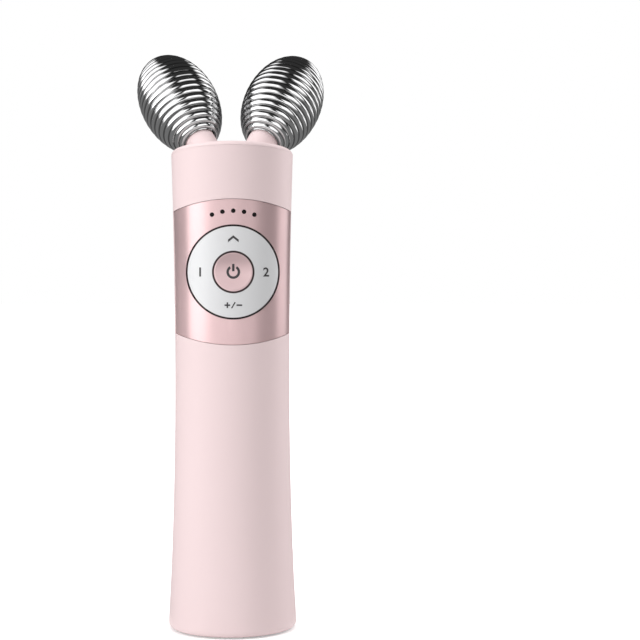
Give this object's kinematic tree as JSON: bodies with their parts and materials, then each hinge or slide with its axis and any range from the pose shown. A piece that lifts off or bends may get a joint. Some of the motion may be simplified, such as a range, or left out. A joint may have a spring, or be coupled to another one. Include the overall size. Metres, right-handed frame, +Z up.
{
  "type": "facial toning device",
  "caption": "Hand-held facial toning device: waisted pink body with a wrap-round rose-gold key panel, and ribbed chrome rollers on slanted necks that lift and knead the skin.",
  "frame": {"origin": "centre of the round base, on the face it stands on", "axes": "+Z up along the body, +X to the right of the control face, +Y to the back"},
  "size_m": [0.0658, 0.0597, 0.198],
  "materials": {
    "pink_shell": "fine satin moulded plastic, pale pink",
    "rose_panel": "rose-gold metallic lacquer",
    "rose_button": "rose-gold metallic lacquer, dished",
    "silver_ring": "silver-white satin lacquer",
    "chrome": "polished chrome, ribbed",
    "smoked_lens": "smoked clear plastic",
    "foot_rubber": "soft matte silicone",
    "grey_plastic": "moulded plastic, dark grey",
    "white_plastic": "moulded plastic, natural white",
    "silicone": "translucent grey silicone",
    "circuit_board": "green solder mask",
    "chip_black": "moulded epoxy",
    "ferrite": "sintered ferrite",
    "copper": "enamelled copper wire",
    "battery_wrap": "can with a shrink sleeve",
    "nickel": "nickel strip",
    "lead_sleeve": "insulated wire",
    "steel": "bright steel",
    "brass": "bare brass"
  },
  "bodies": {
    "housing": {"front_shell": "pink_shell", "rear_shell": "pink_shell", "head_cap": "pink_shell", "base_cap": "pink_shell", "screw_plugs": "pink_shell", "foot_pad": "foot_rubber", "control_panel": "rose_panel", "keypad_frame": "grey_plastic", "keypad_membrane": "silicone", "light_guide": "smoked_lens", "main_board": "circuit_board", "tact_switches": "steel", "indicator_leds": "white_plastic", "board_chips": "chip_black", "transformer_core": "ferrite", "transformer_winding": "copper", "inner_chassis": "white_plastic", "battery_cell": "battery_wrap", "battery_tabs": "nickel", "battery_leads": "lead_sleeve", "charge_board": "circuit_board", "charge_socket": "steel", "charge_leads": "lead_sleeve", "case_screws": "steel", "base_screws": "steel", "board_screws": "steel", "charge_screws": "steel", "roller_axle_left": "steel", "axle_clip_left": "steel", "thrust_washer_left": "white_plastic", "contact_leaf_left": "brass", "roller_axle_right": "steel", "axle_clip_right": "steel", "thrust_washer_right": "white_plastic", "contact_leaf_right": "brass"},
    "left_roller": {"roller_tip_left": "chrome", "roller_mouth_left": "chrome", "roller_core_left": "white_plastic", "roller_bushes_left": "brass"},
    "right_roller": {"roller_tip_right": "chrome", "roller_mouth_right": "chrome", "roller_core_right": "white_plastic", "roller_bushes_right": "brass"},
    "gimbal": {"rocker_gimbal": "grey_plastic"},
    "ring": {"rocker_ring": "silver_ring"},
    "button": {"power_button": "rose_button"}
  },
  "joints": [
    {"name": "left_roller_spin", "type": "hinge", "parent": "housing", "child": "left_roller", "pos_m": [-0.01805, 0.021, 0.1798], "axis": [-0.3714, 0.6079, 0.7018], "continuous": true},
    {"name": "right_roller_spin", "type": "hinge", "parent": "housing", "child": "right_roller", "pos_m": [0.01805, 0.021, 0.1798], "axis": [0.3714, 0.6079, 0.7018], "continuous": true},
    {"name": "ring_tilt_up_down", "type": "hinge", "parent": "housing", "child": "gimbal", "pos_m": [0, -0.0133, 0.1211], "axis": [1, 0, 0], "range_deg": [-1.7, 1.7], "stiffness_Nm_per_rad": 0.5},
    {"name": "ring_tilt_sideways", "type": "hinge", "parent": "gimbal", "child": "ring", "pos_m": [0, -0.0133, 0.1211], "axis": [0, 0, 1], "range_deg": [-1.7, 1.7], "stiffness_Nm_per_rad": 0.5},
    {"name": "power_press", "type": "slide", "parent": "housing", "child": "button", "axis": [0, 1, 0], "range_m": [0, 0.0005], "stiffness_N_per_m": 2500}
  ]
}
